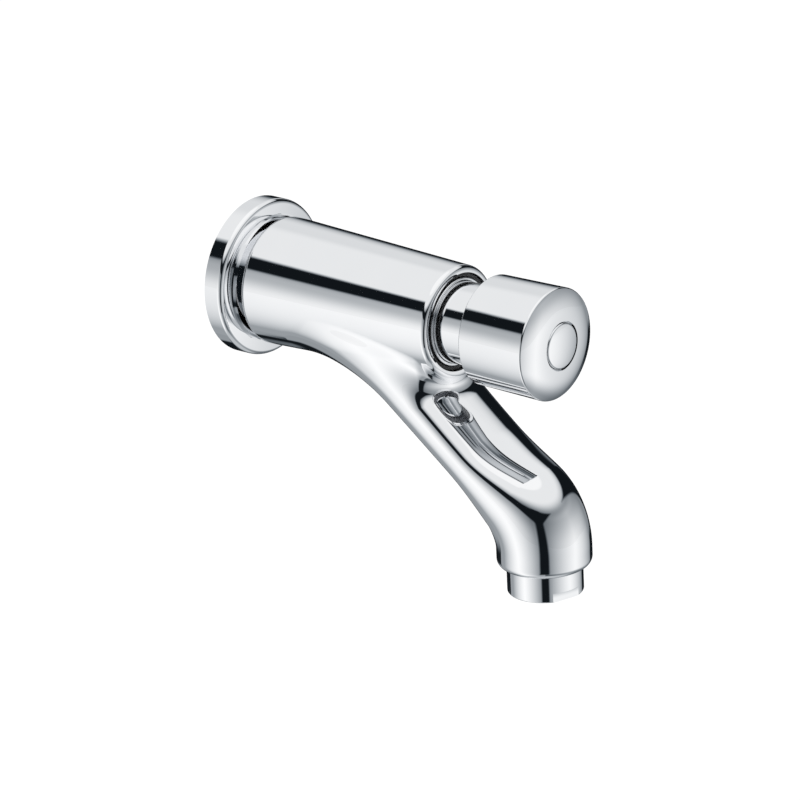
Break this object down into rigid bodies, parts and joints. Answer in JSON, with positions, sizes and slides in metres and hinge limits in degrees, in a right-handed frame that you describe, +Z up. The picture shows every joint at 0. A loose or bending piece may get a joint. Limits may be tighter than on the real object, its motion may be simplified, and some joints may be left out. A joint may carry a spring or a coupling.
{
  "type": "wall basin tap",
  "caption": "Wall-mounted self-closing basin tap with a push button on the axis of its round body and a sloping spout that turns down to an aerator.",
  "frame": {"origin": "on the axis of the inlet thread and body, in the plane of the wall", "axes": "+Y into the wall along the inlet thread, +Z up, +X to the right of someone facing the wall"},
  "size_m": [0.06, 0.1646, 0.1283],
  "materials": {
    "chrome": "polished chrome plate on brass",
    "brass": "machined, bare",
    "steel": "stainless, fine turned",
    "rubber": "matt black nitrile",
    "fibre": "pressed fibre",
    "foam": "closed cell foam",
    "white_plastic": "moulded acetal",
    "grey_plastic": "moulded acetal"
  },
  "bodies": {
    "tap_body": {"valve_body": "chrome", "wall_flange": "chrome", "flange_gasket": "foam", "inlet_nipple": "brass", "inlet_strainer": "steel", "nipple_washer": "fibre", "spacer_collar": "chrome", "cartridge_barrel": "brass", "barrel_oring_rear": "rubber", "barrel_oring_front": "rubber", "valve_seat": "steel", "neck_sleeve": "chrome", "neck_gasket": "rubber", "spindle_bush": "brass", "spindle_oring": "rubber", "ring_nut": "chrome", "front_seal": "rubber", "return_spring": "steel", "aerator_housing": "chrome", "aerator_insert": "white_plastic", "aerator_screen": "steel", "flow_regulator": "grey_plastic", "aerator_washer": "rubber"},
    "spring_seat": {"thrust_washer": "steel"},
    "button": {"push_button": "chrome", "index_disc": "chrome", "button_screw": "steel", "guide_bush": "grey_plastic", "spindle": "steel", "piston": "grey_plastic", "lip_seal": "rubber", "metering_pin": "brass", "valve_washer": "rubber", "valve_cup": "brass", "valve_nut": "brass"}
  },
  "joints": [
    {"name": "button_press", "type": "slide", "parent": "tap_body", "child": "spring_seat", "axis": [0, 1, 0], "range_m": [0, 0.01], "stiffness_N_per_m": 1500, "springref_m": -0.014, "deforming": ["return_spring"]},
    {"name": "button_turn", "type": "hinge", "parent": "spring_seat", "child": "button", "pos_m": [0, 0, 0], "axis": [0, 1, 0], "continuous": true}
  ]
}
